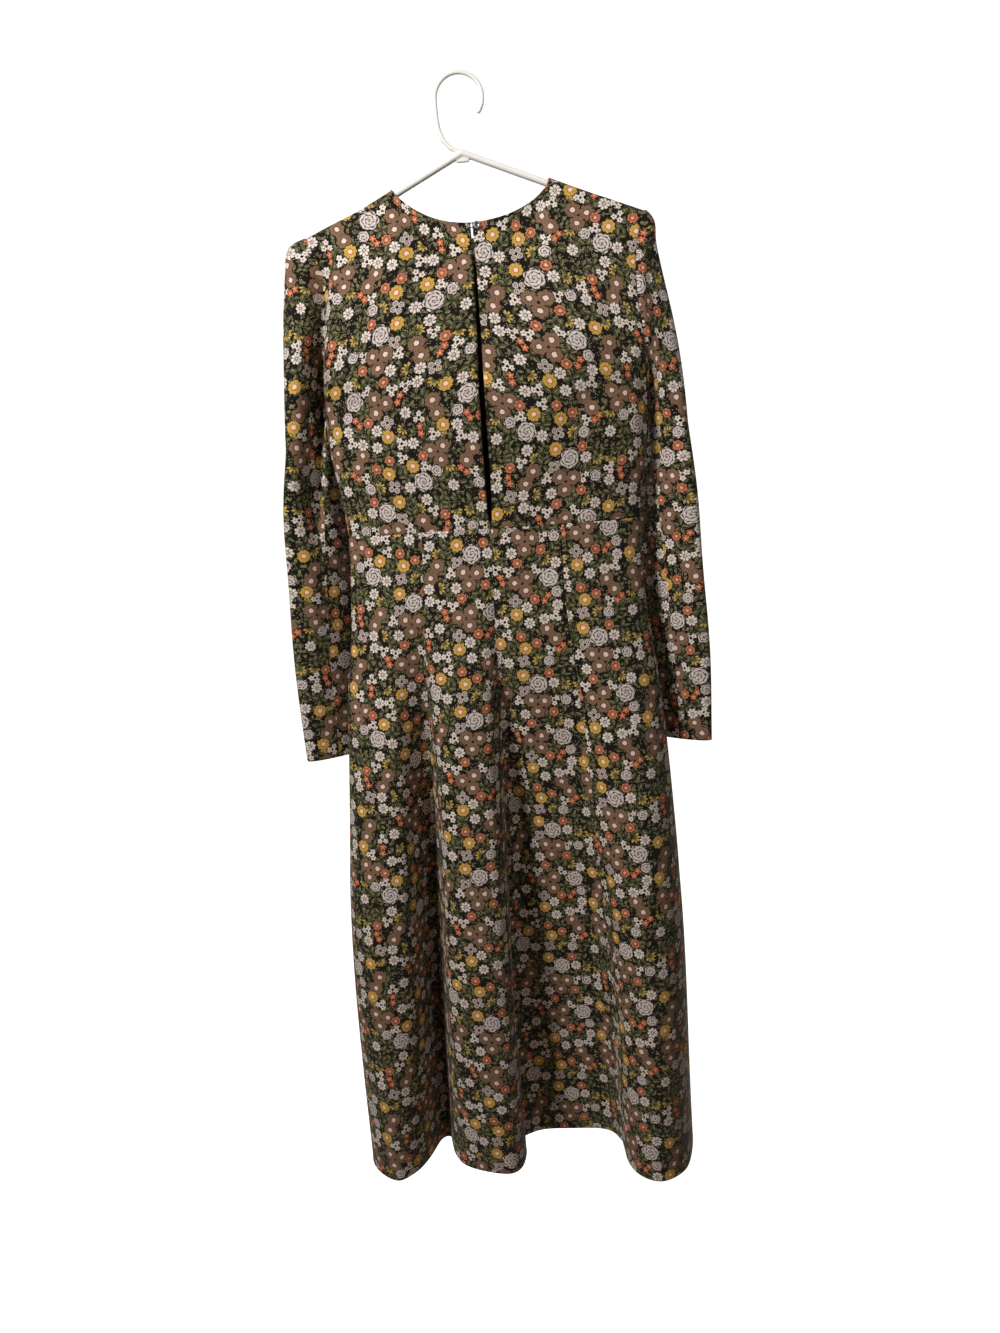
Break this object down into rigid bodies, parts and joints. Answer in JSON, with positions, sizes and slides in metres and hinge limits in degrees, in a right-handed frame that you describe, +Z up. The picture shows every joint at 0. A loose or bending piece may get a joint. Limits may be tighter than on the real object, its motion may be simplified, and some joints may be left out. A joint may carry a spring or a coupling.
{
  "type": "maxi dress on hanger",
  "caption": "Long-sleeved floral maxi dress with a round neck, open back slit, flared gored skirt and loop button, hanging on a plastic hanger.",
  "frame": {"origin": "inner top of the hanger's hook, where it bears on the rail", "axes": "+Z up; the back of the dress, with its slit and button, faces -Y; +X is to the right seen from the back"},
  "size_m": [0.5088, 0.1874, 1.3211],
  "materials": {
    "floral_crepe": "matt crepe, near-black ground with a dense small floral print in cream, ochre, orange, brown and green",
    "white_plastic": "satin moulded plastic",
    "button_blue_grey": "polished",
    "black_cord": "spun cord",
    "black_coil": "nylon coil"
  },
  "bodies": {
    "root": {"hanger": "white_plastic", "bodice_back_left": "floral_crepe", "bodice_back_right": "floral_crepe", "bodice_front": "floral_crepe", "skirt_back_centre_left": "floral_crepe", "skirt_back_centre_right": "floral_crepe", "skirt_back_side_left": "floral_crepe", "skirt_back_side_right": "floral_crepe", "skirt_front": "floral_crepe", "sleeve_left": "floral_crepe", "sleeve_right": "floral_crepe", "nape_button": "button_blue_grey", "button_loop": "black_cord", "back_zip": "black_coil"}
  },
  "joints": []
}
